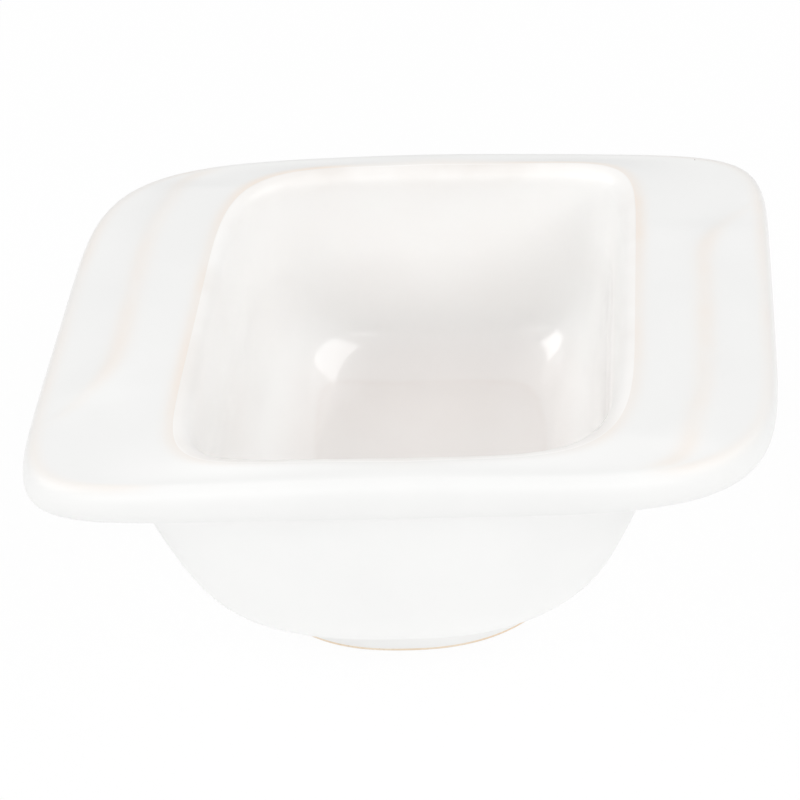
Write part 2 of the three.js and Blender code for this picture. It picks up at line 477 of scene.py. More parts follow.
class Line(Enum):
    """Lines of the dish at which a run of its surface ends, in the order of the runs."""

    FLOOR = 0
    SEAT = 1
    MOUTH = 2
    RIDGE = 3
    CREST = 4
    WIDEST = 5
    LOWER = 6
    CREASE = 7
    FOOT = 8
    GLAZE_LINE = 9


@dataclass(frozen=True)
class CrestLine:
    """How thin the glaze runs along one line, all round, and how far to either side; inside the mouth also
    painted shade.
    """

    at: Line
    inner: np.ndarray
    inner_reach: float
    outer: np.ndarray
    outer_reach: float


@dataclass(frozen=True)
class GlazeFlow:
    """How the glaze rounds edges, where it runs thin over crests and where it gathers, and where light and
    shade are painted on it.

    Roundings, reaches, widths, heights and depths are in millimetres and amounts are shares. The
    spans lip_back_at, brim_corner_at and brim_back_at are sines of the angle round the mouth, 1 at
    the back, and brim_front_at is the same counted to the front. The spans bend_at, tip_at and
    brim_end_at are shares of the mid ridge's flare.
    """

    # How far edges are rounded, and over how many rows to each side that is evened out
    rounding: float = 0.9
    floor_rounding: float = 1.5
    lip_rounding: float = 1.2
    foot_rounding: float = 0.4
    even_rows: int = 3
    # Thin glaze inside the mouth's crest, also painted shade over the lip's lit band, more at the back
    lip_thin_and_shade: float = 0.55
    lip_thin_and_shade_back: float = 0.45
    lip_back_at: Span = (0.4, 0.9)
    lip_reach: float = 3.2
    # Thin glaze outside the mouth's crest
    brim_thin: float = 0.6
    brim_thin_front: float = -0.5
    brim_thin_corner: float = 0.5
    brim_thin_back: float = -0.7
    brim_front_at: Span = (0.5, 0.95)
    brim_corner_at: Span = (0.2, 0.65)
    brim_back_at: Span = (0.87, 0.98)
    brim_reach: float = 1.4
    # Thin glaze along the mid ridge
    ridge_thin: float = 0.38
    ridge_reach: float = 1.6
    bend_fade: float = 0.6
    bend_at: Span = (0.0, 0.4)
    tip_fade: float = 0.4
    tip_at: Span = (0.6, 1.0)
    brim_end_at: Span = (0.7, 1.0)
    # Thin glaze along the outer crest, where the rim is wide
    crest_thin: float = 0.36
    crest_widths: Span = (12.5, 16.0)
    crest_reach: float = 1.1
    # Painted light outside: a lighter tone under the rim and towards the foot
    under_rim_painted_fill: float = 0.4
    under_rim_painted_fill_rise: float = 4.0
    low_painted_fill: float = 0.6
    low_painted_fill_heights: Span = (2.0, 20.0)
    # Depths under the mouth at which the liner's gloss begins to fade and has gone
    gloss_fades: float = 20.0
    gloss_gone: float = 10.0
    # Glaze gathered on the well's floor, with painted shade: darker up the wall's foot and a dark line at
    # the floor's edge
    pool_x: float = 19.0
    pool_y: float = 22.6
    pool_fullness: float = 7.0
    pool_rise: float = 8.0
    pool_edge: float = 0.45
    pool_all: float = 0.65
    pool_inside: float = 0.15
    painted_crease_shade: float = 0.2


class GlazedSurface:
    """The glazed surface from the floor's middle over the rim to the foot, and the clay under it."""

    def __init__(self, form: DishForm, flow: GlazeFlow) -> None:
        """Draws both surfaces.

        Args:
            form: Sizes of the dish.
            flow: How its glaze runs.
        """
        self.form = form
        self.flow = flow
        self.at: dict[Line, int] = {}
        rows: list[Loop] = []
        softness: list[float] = []
        for line, run in zip(Line, self._runs()):
            drawn = run.build()
            rows.extend(drawn if not rows else drawn[1:])
            softness.extend([run.softness] * (len(rows) - len(softness)))
            self.at[line] = len(rows) - 1
        window = 2 * flow.even_rows + 1
        padded = np.pad(softness, flow.even_rows, "edge")
        self.rows = melt(np.stack(rows), np.convolve(padded, np.ones(window) / window, "valid"))
        self.out = facing(self.rows)
        self.clay = self._sunk()

    def _runs(self) -> list[Stretch]:
        """Lists the runs of the surface in the order of the lines at which they end.

        Returns:
            The runs, from the floor's middle to the glaze line.
        """
        form, flow = self.form, self.flow
        seat, middle = form.seat_share(), form.middle_share
        return [
            Stretch(lambda t: form.floor(mix(middle, 1, t)), rows=24, softness=flow.floor_rounding),
            Stretch(lambda t: form.well_wall(mix(1, seat, t)), rows=56, softness=flow.rounding),
            Stretch(self._wall_and_lip, rows=40, softness=flow.lip_rounding),
            Stretch(lambda t: form.rim_top(0, t), rows=22, softness=flow.rounding),
            Stretch(lambda t: form.rim_top(1, t), rows=20, softness=flow.rounding),
            Stretch(form.edge_roll, rows=14, softness=flow.rounding),
            Stretch(form.lower_edge, rows=8, softness=flow.rounding),
            Stretch(form.underside, rows=16, softness=flow.rounding),
            Stretch(form.body_wall, rows=40, softness=flow.rounding),
            Stretch(form.foot_wall, rows=10, softness=flow.foot_rounding),
        ]

    def _wall_and_lip(self, share: float) -> Loop:
        """Draws the top of the well's wall and the lip's inner side as one run.

        Args:
            share: 0 at the rim's seat, 1 at the mouth's crest.

        Returns:
            The outline's points.
        """
        wall_share = self.form.lip_wall_share
        if share < wall_share:
            return self.form.well_wall(mix(self.form.seat_share(), 0, share / wall_share))
        return self.form.lip(1 - (share - wall_share) / (1 - wall_share))

    def _sunk(self) -> Rows:
        """Draws the clay under the glaze, level at its seats and thinly covered at the glaze line.

        Returns:
            The clay's rows, one for each row of glaze.
        """
        end, foot = self.at[Line.GLAZE_LINE], self.at[Line.FOOT]
        depth = np.full(len(self.rows), self.form.glaze)
        depth[foot:] = np.linspace(self.form.glaze, self.form.glaze_end, end - foot + 1)
        clay = self.rows - self.out * depth[:, None, None]
        clay[self.at[Line.SEAT], :, 2] = self.form.seat_z
        clay[self.at[Line.CREASE], :, 2] = self.form.seat_z
        clay[foot, :, 2] = self.form.foot_seat_z
        return clay

    def _ridge_kept(self) -> np.ndarray:
        """Says how much of the mid ridge still shows where it runs out into a tip or the brim.

        Returns:
            The share at each angle round the dish.
        """
        flow, flare = self.flow, self.form.flare()
        to_tip = np.degrees(self.form.angles) % HALF_TURN < QUARTER_TURN
        tip = 1 - flow.bend_fade * ease(*flow.bend_at, flare) - flow.tip_fade * ease(*flow.tip_at, flare)
        return np.where(to_tip, tip, 1 - ease(*flow.brim_end_at, flare))

    def _crest_lines(self) -> tuple[CrestLine, ...]:
        """Says how thin the glaze runs along each crest, and how much shade is painted inside the mouth.

        Returns:
            The mouth, the mid ridge and the outer crest.
        """
        form, flow = self.form, self.flow
        back = np.sin(form.angles)
        # Warm thin line of the mouth's crest, and painted shade over the lip's lit band, more at the back
        lip = flow.lip_thin_and_shade + flow.lip_thin_and_shade_back * ease(*flow.lip_back_at, back)
        brim = flow.brim_thin + flow.brim_thin_front * ease(*flow.brim_front_at, -back)
        brim = brim + flow.brim_thin_corner * ease(*flow.brim_corner_at, back)
        brim = brim + flow.brim_thin_back * ease(*flow.brim_back_at, back)
        ridge = flow.ridge_thin * self._ridge_kept()
        crest = flow.crest_thin * ease(*flow.crest_widths, form.wing_width())
        return (
            CrestLine(Line.MOUTH, lip, flow.lip_reach, brim, flow.brim_reach),
            CrestLine(Line.RIDGE, ridge, flow.ridge_reach, ridge, flow.ridge_reach),
            CrestLine(Line.CREST, crest, flow.crest_reach, crest, flow.crest_reach),
        )

    def thin_and_shade_marks(self) -> np.ndarray:
        """Says how thin the glaze runs, and the lip's painted shade: most on a crest, fading to 0 beside it.

        Returns:
            Thinness, with the lip's painted shade, at every point, [rows, around].
        """
        along = lengths_along(self.rows)
        marks = np.zeros(along.shape)
        for line in self._crest_lines():
            away = along - along[self.at[line.at]]
            inside = away < 0
            amount = np.where(inside, line.inner, line.outer)
            away = away / np.where(inside, line.inner_reach, line.outer_reach)
            marks = np.maximum(marks, amount * np.exp(-away**2))
        return marks

    def painted_fill_marks(self) -> np.ndarray:
        """Paints light outside as a lighter tone: none on the rim, from the crease under it down, most at
        the foot.

        Returns:
            Painted light at every point, [rows, around].
        """
        flow, crease, z = self.flow, self.form.crease_z, self.rows[:, :, 2]
        wall = 1 - ease(crease, crease + flow.under_rim_painted_fill_rise, z)
        low = 1 - ease(*flow.low_painted_fill_heights, z)
        return flow.under_rim_painted_fill * wall + flow.low_painted_fill * low

    def lip_marks(self) -> np.ndarray:
        """Says where the liner's gloss has faded to a satin: 1 at the lip, 0 lower down.

        Returns:
            Fading at every point, [rows, around].
        """
        low, high = self.form.height - self.flow.gloss_fades, self.form.height - self.flow.gloss_gone
        return ease(low, high, self.rows[:, :, 2])

    def pool_and_shade_marks(self) -> np.ndarray:
        """Says how thickly the glaze lies gathered, with painted shade: most along the floor's edge, fading
        up the wall.

        Returns:
            Gathered glaze and painted shade at every point, [rows, around].
        """
        form, flow = self.form, self.flow
        x, y, z = np.moveaxis(self.rows, 2, 0)
        n = flow.pool_fullness
        share = (np.abs((x - form.floor_shift) / flow.pool_x) ** n + np.abs(y / flow.pool_y) ** n) ** (1 / n)
        past = (share - 1) * flow.pool_y / flow.pool_edge
        low = 1 - ease(0.0, flow.pool_rise, z - form.floor_z)
        inside = 1 - ease(-1, 1, past)
        # Painted shade: a darkening over the whole floor, more inside the outline, and a dark line along its
        # edge
        return low * (flow.pool_all + flow.pool_inside * inside + flow.painted_crease_shade * np.exp(-past**2))


class Underneath:
    """The glazed recess inside the foot ring, and the bare standing edge round it."""

    def __init__(self, form: DishForm, flow: GlazeFlow) -> None:
        """Draws the recess and the clay above it.

        Args:
            form: Sizes of the dish.
            flow: How its glaze runs.
        """
        self.form = form
        self.reach = form.foot_reach - form.foot_width
        self.inner = form.recess_share * self.reach
        self.top_z = form.foot_height + form.recess_rise
        top = Stretch(self._ceiling, rows=12).build()
        cove = Stretch(self._cove, rows=6).build()
        wall = Stretch(self._wall, rows=12).build()
        rows = np.concatenate([top, cove[1:], wall[1:]])
        self.seat = len(top) + len(cove) - 2
        self.rows = melt(rows, np.full(len(rows), flow.foot_rounding))
        depth = np.full(len(rows), form.glaze)
        depth[self.seat:] = np.linspace(form.glaze, form.glaze_end, len(rows) - self.seat)
        self.clay = self.rows + facing(self.rows) * depth[:, None, None]
        self.clay[self.seat, :, 2] = form.foot_seat_z

    def _ceiling(self, share: float) -> Loop:
        """Draws the recess's level ceiling, from its middle at 0 to the cove at 1."""
        return self.form.foot_outline(mix(self.form.middle_share, 1, share) * self.inner, self.top_z)

    def _cove(self, share: float) -> Loop:
        """Draws the slope from the ceiling at 0 down to the foot ring's seat at 1."""
        reach = mix(self.inner, self.reach, share)
        return self.form.foot_outline(reach, mix(self.top_z, self.form.foot_seat_z, share))

    def _wall(self, share: float) -> Loop:
        """Draws the foot ring's inner wall, from its seat at 0 to the glaze line at 1."""
        return self.form.foot_outline(self.reach, mix(self.form.foot_seat_z, self.form.glaze_line, share))

    def _upright(self, reach: float, start: float, end: float) -> Rows:
        """Draws a straight wall of the bare edge between two heights."""
        return Stretch(lambda t: self.form.foot_outline(reach, mix(start, end, t)), rows=4).build()

    def _roll(self, start: float, side: float) -> Rows:
        """Draws the rounding from a wall of the bare edge to the standing face.

        Args:
            start: Reach of the wall.
            side: 1 on the outside, -1 on the inside.

        Returns:
            Its rows, from the wall to the face.
        """
        form = self.form

        def draw(share: float) -> Loop:
            """Draws one outline of the rounding."""
            turn = math.radians(QUARTER_TURN * share)
            reach = start - side * form.foot_edge * (1 - math.cos(turn))
            return form.foot_outline(reach, form.foot_edge * (1 - math.sin(turn)))

        return Stretch(draw, rows=6).build()

    def standing_edge(self) -> Rows:
        """Draws the bare clay from the outer glaze line over the standing face to the inner one.

        Returns:
            Its rows, without those at the two glaze lines.
        """
        form = self.form
        outer = form.foot_reach - form.glaze_end
        inner = self.reach + form.glaze_end
        ends = outer - form.foot_edge, inner + form.foot_edge
        down = self._upright(outer, form.glaze_line, form.foot_edge)
        over = self._roll(outer, 1)
        face = Stretch(lambda t: form.foot_outline(mix(*ends, t), 0), rows=8).build()
        back = self._roll(inner, -1)[::-1]
        up = self._upright(inner, form.foot_edge, form.glaze_line)
        return np.concatenate([down[1:], over[1:], face[1:], back[1:], up[1:-1]])


def skin(name: str, rows: Rows, ends: Ends, out: Optional[np.ndarray] = None) -> bpy.types.Object:
    """Makes a closed smooth solid over a run of outlines.

    Args:
        name: Name of the new object.
        rows: Outlines in millimetres, outward side as the rows run.
        ends: Whether the rows join end to end or are closed by a fan at each end.
        out: Directions to shade the first rows by, where a neighbour goes on with the surface.

    Returns:
        The new object, linked to the scene.
    """
    count, around = rows.shape[:2]
    points = rows.reshape(-1, 3)
    normals = facing(rows, ends is Ends.RING)
    if out is not None:
        normals[: len(out)] = out
    normals = normals.reshape(-1, 3)
    here = np.arange(around)
    beside = (here + 1) % around
    faces = []
    for k in range(count if ends is Ends.RING else count - 1):
        near, far = k * around, (k + 1) % count * around
        faces.extend(np.stack([near + here, far + here, far + beside, near + beside], axis=1).tolist())
    if ends is Ends.FANS:
        middles = np.stack([rows[0].mean(axis=0), rows[-1].mean(axis=0)])
        first, last = len(points), (count - 1) * around
        faces.extend([first, i, j] for i, j in zip(here.tolist(), beside.tolist()))
        faces.extend([first + 1, last + j, last + i] for i, j in zip(here.tolist(), beside.tolist()))
        normals = np.concatenate([normals, normals[:1], normals[-1:]])
        points = np.concatenate([points, middles])
    mesh = bpy.data.meshes.new(name)
    mesh.from_pydata((points * MM).tolist(), [], faces)
    mesh.polygons.foreach_set("use_smooth", [True] * len(mesh.polygons))
    mesh.normals_split_custom_set_from_vertices(normals.tolist())
    mesh.validate()
    made = bpy.data.objects.new(name, mesh)
    bpy.context.scene.collection.objects.link(made)
    return made


def mark(piece: bpy.types.Object, name: str, values: np.ndarray) -> None:
    """Stores one value per point of a piece, for its finish to read.

    Args:
        piece: The piece.
        name: Name of the attribute.
        values: Values of the first points. The rest, out of sight or in the middle, get the very
            first of them.
    """
    full = np.full(len(piece.data.vertices), values.flat[0])
    full[: values.size] = values.ravel()
    piece.data.attributes.new(name, "FLOAT", "POINT").data.foreach_set("value", full)


class Wire:
    """One shader value that adds Math nodes when it is used in a sum."""

    def __init__(self, shader: "Shader", socket: bpy.types.NodeSocket) -> None:
        """Wraps an output socket of a shader."""
        self.shader = shader
        self.socket = socket

    def math(self, operation: str, *others: Value, swapped: bool = False) -> "Wire":
        """Adds a Math node.

        Args:
            operation: Its operation.
            others: The other values.
            swapped: Whether this value comes second.

        Returns:
            The node's result.
        """
        values = [self, *others]
        if swapped:
            values.reverse()
        node = self.shader.node("ShaderNodeMath", {"operation": operation}, dict(enumerate(values)))
        return Wire(self.shader, node.outputs[0])

    def __add__(self, other: Value) -> "Wire":
        """Adds."""
        return self.math("ADD", other)

    __radd__ = __add__

    def __sub__(self, other: Value) -> "Wire":
        """Takes other away."""
        return self.math("SUBTRACT", other)

    def __rsub__(self, other: Value) -> "Wire":
        """Takes this away from other."""
        return self.math("SUBTRACT", other, swapped=True)

    def __mul__(self, other: Value) -> "Wire":
        """Multiplies."""
        return self.math("MULTIPLY", other)

    __rmul__ = __mul__

    def __lt__(self, other: Value) -> "Wire":
        """Gives 1 where this is below other."""
        return self.math("LESS_THAN", other)

    def __gt__(self, other: Value) -> "Wire":
        """Gives 1 where this is above other."""
        return self.math("GREATER_THAN", other)

    def most(self, other: Value) -> "Wire":
        """Takes the larger of the two."""
        return self.math("MAXIMUM", other)

    def least(self, other: Value) -> "Wire":
        """Takes the smaller of the two."""
        return self.math("MINIMUM", other)

    def between(self, low: float, high: float) -> "Wire":
        """Rises smoothly from 0 at low to 1 at high."""
        settings = {"interpolation_type": "SMOOTHSTEP"}
        sockets = {"Value": self, "From Min": low, "From Max": high}
        return Wire(self.shader, self.shader.node("ShaderNodeMapRange", settings, sockets).outputs[0])


class Shader:
    """The node tree of one material or of the world."""

    def __init__(self, tree: bpy.types.NodeTree) -> None:
        """Empties the tree."""
        self.tree = tree
        tree.nodes.clear()

    def node(self, kind: str, settings: Settings, sockets: Sockets) -> bpy.types.Node:
        """Adds a node.

        Args:
            kind: The node's type.
            settings: Its own settings, set first.
            sockets: A value, a wire or an output socket for each input.

        Returns:
            The new node.
        """
        made = self.tree.nodes.new(kind)
        for key, value in settings.items():
            setattr(made, key, value)
        for key, value in sockets.items():
            if isinstance(value, Wire):
                value = value.socket
            if isinstance(value, bpy.types.NodeSocket):
                self.tree.links.new(value, made.inputs[key])
            else:
                made.inputs[key].default_value = value
        return made

    def wire(self, kind: str, settings: Settings, sockets: Sockets, output: str) -> Wire:
        """Adds a node and wraps one of its outputs."""
        return Wire(self, self.node(kind, settings, sockets).outputs[output])

    def blend(self, share: Wire, start: Any, end: Any) -> bpy.types.NodeSocket:
        """Mixes two colours.

        Args:
            share: 0 for start, 1 for end.
            start: A colour or a socket.
            end: A colour or a socket.

        Returns:
            The mixed colour's socket.
        """
        sockets = {0: share, 6: opaque(start), 7: opaque(end)}
        return self.node("ShaderNodeMix", {"data_type": "RGBA"}, sockets).outputs[2]

    def bump(self, distance: float, height: Wire) -> bpy.types.NodeSocket:
        """Turns a height into the normal of a surface with that relief."""
        sockets = {"Strength": 1.0, "Distance": distance, "Height": height}
        return self.node("ShaderNodeBump", {}, sockets).outputs["Normal"]


def opaque(colour: Any) -> Any:
    """Gives a written colour its fourth channel and leaves a socket as it is."""
    return (*colour, 1.0) if isinstance(colour, tuple) else colour


def blank_material(name: str) -> tuple[bpy.types.Material, Shader]:
    """Makes a node material with nothing in it yet, and the shader that fills it."""
    made = bpy.data.materials.new(name)
    made.use_nodes = True
    return made, Shader(made.node_tree)


@dataclass(frozen=True)
class Noise:
    """One layer of unevenness in a finish."""

    scale: float
    detail: float

    def wire(self, shader: Shader, place: bpy.types.NodeSocket) -> Wire:
        """Adds the layer to a shader."""
        sockets = {"Vector": place, "Scale": self.scale, "Detail": self.detail}
        return shader.wire("ShaderNodeTexNoise", {}, sockets, "Fac")


@dataclass(frozen=True)
class GlazeFinish:
    """A white glaze that pools in hollows and breaks to a warm tone over crests, with light and shade
    painted into its tones; its ripple in metres.
    """

    name: str
    body: Colour
    pooled_and_painted_light: Colour
    thin: Colour
    speck: Colour
    roughness: float
    thin_roughness: float
    ripple: float
    speck_share: float
    sheen: float
    gloss: float
    gloss_roughness: float = 0.05
    # Layers of unevenness, from wide to fine
    drift: Noise = Noise(scale=45.0, detail=3.0)
    cloud: Noise = Noise(scale=160.0, detail=4.0)
    grain: Noise = Noise(scale=900.0, detail=2.0)
    # Patchiness of the thin glaze
    patch_span: Span = (0.35, 0.65)
    patch_least: float = 0.55
    patch_drift: float = 0.75
    patch_cloud_least: float = 0.75
    patch_cloud: float = 0.5
    # Tint towards the gathered tone, which carries painted light: shade in the well, a lighter tone low
    # outside
    tint_span: Span = (0.3, 0.7)
    tint_pool_and_painted_light: float = 0.8
    tint_drift: float = 0.15
    tint_cloud: float = 0.05
    # Specks, sized in shares of their cell
    speck_scale: float = 130.0
    speck_least: float = 0.008
    speck_spread: float = 0.022
    speck_strength: float = 0.75
    # Shares in the roughness and in the height of the ripple
    rough_cloud: float = 0.04
    wave_drift: float = 0.5
    wave_cloud: float = 0.12
    wave_grain: float = 0.012
    wave_speck: float = 0.05

    def material(self) -> bpy.types.Material:
        """Makes the finish as a node material.

        Returns:
            The material.
        """
        made, shader = blank_material(self.name)
        place = shader.node("ShaderNodeTexCoord", {}, {}).outputs["Object"]
        drift, cloud, grain = (layer.wire(shader, place) for layer in (self.drift, self.cloud, self.grain))
        # Marks: thin glaze with the lip's painted shade; gathered glaze with painted shade in the well and
        # painted light outside; the gloss's fading
        crest, pool_and_painted_light, lip = (self._mark(shader, name) for name in ("crest", "pool_and_painted_light", "lip"))
        patch = self.patch_least + drift.between(*self.patch_span) * self.patch_drift
        # Thin glaze, and inside the mouth painted shade over the lip
        thin = crest * patch * (self.patch_cloud_least + cloud * self.patch_cloud)
        specks = self._specks(shader, place)
        tint = drift.between(*self.tint_span) * self.tint_drift
        tint = pool_and_painted_light * self.tint_pool_and_painted_light + tint + cloud * self.tint_cloud
        colour = shader.blend(tint, self.body, self.pooled_and_painted_light)
        colour = shader.blend(thin.least(1.0), colour, self.thin)
        colour = shader.blend(specks * self.speck_strength, colour, self.speck)
        rough = self.roughness + thin * (self.thin_roughness - self.roughness)
        rough = rough + (cloud - NOISE_MIDDLE) * self.rough_cloud
        height = drift * self.wave_drift + cloud * self.wave_cloud + grain * self.wave_grain
        height = height - specks * self.wave_speck
        surface = shader.node(
            "ShaderNodeBsdfPrincipled",
            {},
            {
                "Base Color": colour,
                "Roughness": rough,
                "Specular IOR Level": self.sheen,
                "Normal": shader.bump(self.ripple, height),
                "Coat Weight": (1.0 - lip) * self.gloss,
                "Coat Roughness": self.gloss_roughness,
            },
        )
        shader.node("ShaderNodeOutputMaterial", {}, {"Surface": surface.outputs[0]})
        return made

    def _mark(self, shader: Shader, name: str) -> Wire:
        """Reads what mark stored on a piece, or 0 where it has nothing of that name."""
        return shader.wire("ShaderNodeAttribute", {"attribute_name": name}, {}, "Fac")

    def _specks(self, shader: Shader, place: bpy.types.NodeSocket) -> Wire:
        """Scatters small round specks of uneven size.

        Args:
            shader: The finish's shader.
            place: Where a point lies on its piece.

        Returns:
            1 on a speck, 0 beside it.
        """
        cells = shader.node("ShaderNodeTexVoronoi", {}, {"Vector": place, "Scale": self.speck_scale})
        draw = shader.node("ShaderNodeSeparateColor", {}, {0: cells.outputs["Color"]})
        chance, bulk = (Wire(shader, draw.outputs[channel]) for channel in (0, 1))
        size = self.speck_least + bulk * self.speck_spread
        return (Wire(shader, cells.outputs["Distance"]) < size) * (chance < self.speck_share)


@dataclass(frozen=True)
class ClayFinish:
    """Bare fired clay: tan, dry and finely grained; its tooth in metres."""

    name: str
    body: Colour
    toasted: Colour
    grit: Colour
    roughness: float
    tooth: float
    cloud: Noise = Noise(scale=110.0, detail=4.0)
    grain: Noise = Noise(scale=2200.0, detail=3.0)
    toast_span: Span = (0.35, 0.65)
    grit_span: Span = (0.58, 0.72)
    grit_strength: float = 0.5
    tooth_cloud: float = 0.5
    tooth_grain: float = 0.5
    rough_grain: float = 0.15

    def material(self) -> bpy.types.Material:
        """Makes the finish as a node material.

        Returns:
            The material.
        """
        made, shader = blank_material(self.name)
        place = shader.node("ShaderNodeTexCoord", {}, {}).outputs["Object"]
        cloud, grain = self.cloud.wire(shader, place), self.grain.wire(shader, place)
        colour = shader.blend(cloud.between(*self.toast_span), self.body, self.toasted)
        colour = shader.blend(grain.between(*self.grit_span) * self.grit_strength, colour, self.grit)
        relief = shader.bump(self.tooth, cloud * self.tooth_cloud + grain * self.tooth_grain)
        rough = self.roughness + (grain - NOISE_MIDDLE) * self.rough_grain
        sockets = {"Base Color": colour, "Roughness": rough, "Normal": relief}
        surface = shader.node("ShaderNodeBsdfPrincipled", {}, sockets)
        shader.node("ShaderNodeOutputMaterial", {}, {"Surface": surface.outputs[0]})
        return made


LINER = GlazeFinish(
    name="gloss_glaze",
    body=srgb(254, 254, 253),
    # Gathered-glaze tone, darker than the body: painted shade on the well's floor and lower walls
    pooled_and_painted_light=srgb(242, 236, 233),
    # Warm thin-glaze tone; inside the mouth also painted shade over the lip's lit band
    thin=srgb(235, 231, 227),
    speck=srgb(120, 104, 92),
    roughness=0.32,
    thin_roughness=0.4,
    ripple=0.00006,
    speck_share=0.12,
    sheen=0.5,
    gloss=1.0,
)
OUTSIDE = GlazeFinish(
    name="satin_glaze",
    body=srgb(238, 238, 237),
    # Lighter tone: painted light under the rim and towards the foot
    pooled_and_painted_light=srgb(252, 252, 251),
    thin=srgb(239, 228, 218),
    speck=srgb(126, 108, 98),
    roughness=0.34,
    thin_roughness=0.4,
    ripple=0.00012,
    speck_share=0.08,
    sheen=0.3,
    gloss=0.0,
)
BARE = ClayFinish(
    name="bare_clay",
    body=srgb(251, 236, 216),
    toasted=srgb(247, 226, 200),
    grit=srgb(222, 194, 164),
    roughness=0.85,
    tooth=0.00004,
)


def seat_piece(piece: bpy.types.Object, node: str, slot: Slot, finish: bpy.types.Material) -> None:
    """Gives a piece its finish and its place in the frame.

    Args:
        piece: The piece.
        node: The solid that it stands for.
        slot: The record's material slot; not used.
        finish: Its material.
    """
    piece.data.materials.append(finish)
    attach(piece, "root")
    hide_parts(node)
    log.info("%s: %d points, %d faces", piece.name, len(piece.data.vertices), len(piece.data.polygons))


@dataclass
class ClayBody:
    """The fired clay: bowl, rim and foot ring, joined at level seats."""

    surface: GlazedSurface
    under: Underneath
    pieces: dict[str, bpy.types.Object] = field(default_factory=dict)

    def build(self) -> None:
        """Makes the three clay pieces."""
        clay, at = self.surface.clay, self.surface.at
        seat, crease, foot, end = (at[k] for k in (Line.SEAT, Line.CREASE, Line.FOOT, Line.GLAZE_LINE))
        recess = self.under.clay
        bowl = [clay[: seat + 1], clay[crease : foot + 1], recess[: self.under.seat + 1][::-1]]
        ring = [clay[foot : end + 1], self.under.standing_edge(), recess[self.under.seat :][::-1]]
        self.pieces["bowl"] = skin("bowl_body", np.concatenate(bowl), Ends.FANS)
        self.pieces["rim"] = skin("rim_body", clay[seat : crease + 1], Ends.RING)
        self.pieces["foot_ring"] = skin("foot_ring_body", np.concatenate(ring), Ends.RING)

    def dress(self, finish: bpy.types.Material) -> None:
        """Gives each clay piece its finish and its place."""
        for node, piece in self.pieces.items():
            seat_piece(piece, node, Slot.CLAY, finish)


@dataclass
class GlazeCoats:
    """The glaze: a gloss liner in the well, a satin coat outside and one under the foot."""

    surface: GlazedSurface
    under: Underneath
    pieces: dict[str, bpy.types.Object] = field(default_factory=dict)

    def build(self) -> None:
        """Makes the three coats as thin closed shells."""
        rows, clay, out = self.surface.rows, self.surface.clay, self.surface.out
        mouth = self.surface.at[Line.MOUTH]
        marks = self.surface.thin_and_shade_marks()
        liner = np.concatenate([rows[: mouth + 1], clay[: mouth + 1][::-1]])
        outside = np.concatenate([rows[mouth:], clay[mouth:][::-1]])
        base = np.concatenate([self.under.clay, self.under.rows[::-1]])
        self.pieces["liner_glaze"] = skin("liner_glaze_coat", liner, Ends.FANS, out[: mouth + 1])
        self.pieces["outer_glaze"] = skin("outer_glaze_coat", outside, Ends.RING, out[mouth:])
        self.pieces["base_glaze"] = skin("base_glaze_coat", base, Ends.FANS)
        # Gathered glaze and painted shade over the well's floor and the wall's foot
        mark(self.pieces["liner_glaze"], "pool_and_painted_light", self.surface.pool_and_shade_marks()[: mouth + 1])
        # Thin glaze, and painted shade over the lip's inner side
        mark(self.pieces["liner_glaze"], "crest", marks[: mouth + 1])
        mark(self.pieces["liner_glaze"], "lip", self.surface.lip_marks()[: mouth + 1])
        mark(self.pieces["outer_glaze"], "crest", marks[mouth:])
        # Painted light: a lighter tone under the rim and towards the foot
        mark(self.pieces["outer_glaze"], "pool_and_painted_light", self.surface.painted_fill_marks()[mouth:])
        mark(self.pieces["base_glaze"], "crest", np.zeros(1))

    def dress(self, gloss: bpy.types.Material, satin: bpy.types.Material) -> None:
        """Gives each coat its finish and its place."""
        seat_piece(self.pieces["liner_glaze"], "liner_glaze", Slot.GLOSS, gloss)
        seat_piece(self.pieces["outer_glaze"], "outer_glaze", Slot.SATIN, satin)
        seat_piece(self.pieces["base_glaze"], "base_glaze", Slot.SATIN, satin)


@dataclass(frozen=True)
class Softbox:
    """A rectangular studio light aimed at the dish."""

    name: str
    place: Place
    size: tuple[float, float]
    power: float
    aim: Place = (0.0, 0.0, 0.03)

    def build(self) -> None:
        """Makes the light."""
        lamp = bpy.data.lights.new(self.name, "AREA")
        lamp.shape = "RECTANGLE"
        lamp.size, lamp.size_y = self.size
        lamp.energy = self.power
        made = bpy.data.objects.new(self.name, lamp)
        made.location = self.place
        made.rotation_euler = (Vector(self.aim) - Vector(self.place)).to_track_quat("-Z", "Y").to_euler()
        bpy.context.scene.collection.objects.link(made)


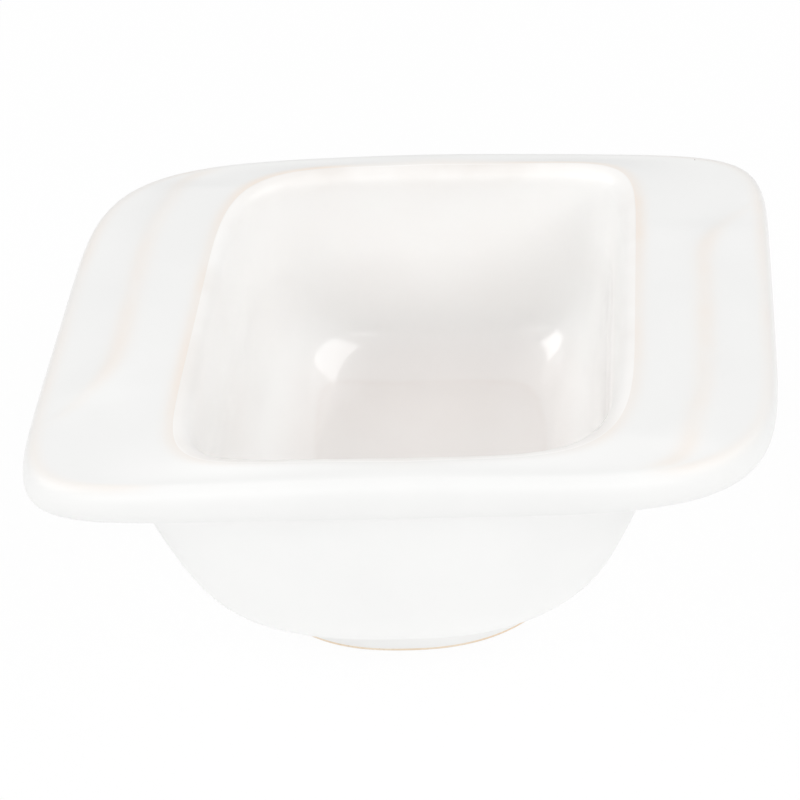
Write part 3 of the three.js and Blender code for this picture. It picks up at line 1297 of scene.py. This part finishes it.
@dataclass(frozen=True)
class Studio:
    """White floor, soft light and the camera, placed in metres."""

    boxes: Sequence[Softbox]
    sky: float = 0.555
    floor_half: float = 3.0
    floor_colour: Colour = (0.96, 0.96, 0.96)
    floor_white: float = 0.94
    target: Place = (-0.002834, 0.0, 0.029387)
    distance: float = 0.34499
    elevation: float = 43.0
    roll: float = -1.087
    lens: float = 97.71
    sensor: float = 36.0
    nearest: float = 0.01
    furthest: float = 20.0

    def build(self) -> None:
        """Makes the floor, the lights, the world and the camera."""
        self._floor()
        self._world()
        for box in self.boxes:
            box.build()
        self._camera()
        bpy.context.scene.view_settings.view_transform = "Standard"

    def _floor(self) -> None:
        """Makes the floor, which the camera sees nearly white and which keeps the shadow."""
        h = self.floor_half
        mesh = bpy.data.meshes.new("floor")
        mesh.from_pydata([(-h, -h, 0), (h, -h, 0), (h, h, 0), (-h, h, 0)], [], [(0, 1, 2, 3)])
        floor = bpy.data.objects.new("floor", mesh)
        bpy.context.scene.collection.objects.link(floor)
        made, shader = blank_material("floor_paper")
        paper = shader.node("ShaderNodeBsdfDiffuse", {}, {"Color": opaque(self.floor_colour)})
        white = shader.node("ShaderNodeEmission", {}, {"Color": WHITE, "Strength": 1.0})
        share = self._seen(shader) * self.floor_white
        sockets = {0: share, 1: paper.outputs[0], 2: white.outputs[0]}
        both = shader.node("ShaderNodeMixShader", {}, sockets)
        shader.node("ShaderNodeOutputMaterial", {}, {"Surface": both.outputs[0]})
        mesh.materials.append(made)

    def _seen(self, shader: Shader) -> Wire:
        """Tells a surface that is seen from one that only lights others.

        Args:
            shader: The shader that asks.

        Returns:
            1 where it is seen straight or in a gloss, 0 otherwise.
        """
        path = shader.node("ShaderNodeLightPath", {}, {})
        seen = Wire(shader, path.outputs["Is Camera Ray"])
        seen = seen.most(Wire(shader, path.outputs["Is Glossy Ray"]))
        return seen.most(Wire(shader, path.outputs["Is Transmission Ray"]))

    def _world(self) -> None:
        """Makes a white surround that lights softly and is seen as white."""
        world = bpy.data.worlds.new("surround")
        bpy.context.scene.world = world
        world.use_nodes = True
        shader = Shader(world.node_tree)
        lighting = shader.node("ShaderNodeBackground", {}, {"Color": WHITE, "Strength": self.sky})
        white = shader.node("ShaderNodeBackground", {}, {"Color": WHITE, "Strength": 1.0})
        sockets = {0: self._seen(shader), 1: lighting.outputs[0], 2: white.outputs[0]}
        both = shader.node("ShaderNodeMixShader", {}, sockets)
        shader.node("ShaderNodeOutputWorld", {}, {"Surface": both.outputs[0]})

    def _camera(self) -> None:
        """Makes the camera, at the picture's height and with its slight roll."""
        rise, roll = math.radians(self.elevation), math.radians(self.roll)
        toward = Vector((0, -math.cos(rise), math.sin(rise)))
        right, up = Vector((1, 0, 0)), Vector((0, math.sin(rise), math.cos(rise)))
        across = right * math.cos(roll) + up * math.sin(roll)
        above = up * math.cos(roll) - right * math.sin(roll)
        eye = Vector(self.target) + toward * self.distance
        lens = bpy.data.cameras.new("camera")
        lens.lens, lens.sensor_width = self.lens, self.sensor
        lens.clip_start, lens.clip_end = self.nearest, self.furthest
        camera = bpy.data.objects.new("camera", lens)
        turn = Matrix((across, above, toward)).transposed().to_4x4()
        camera.matrix_world = Matrix.Translation(eye) @ turn
        bpy.context.scene.collection.objects.link(camera)
        bpy.context.scene.camera = camera


STUDIO = Studio(
    boxes=(
        Softbox("front_right_softbox", place=(0.36, -1.0, 0.43), size=(0.42, 0.32), power=1.23),
        Softbox("front_left_softbox", place=(-0.32, -1.01, 0.43), size=(0.42, 0.32), power=1.23),
        Softbox("right_softbox", place=(0.68, -0.15, 0.74), size=(0.9, 0.5), power=3.2),
        Softbox("left_softbox", place=(-0.71, -0.12, 0.74), size=(0.7, 0.5), power=3.3),
    ),
)


def main() -> None:
    """Builds the clay, the glaze and the studio in order."""
    logging.basicConfig(level=logging.INFO, format="%(name)s %(message)s")
    form, flow = DishForm(), GlazeFlow()
    surface, under = GlazedSurface(form, flow), Underneath(form, flow)
    body = ClayBody(surface, under)
    body.build()
    body.dress(BARE.material())
    coats = GlazeCoats(surface, under)
    coats.build()
    coats.dress(LINER.material(), OUTSIDE.material())
    STUDIO.build()


if __name__ == "__main__":
    main()
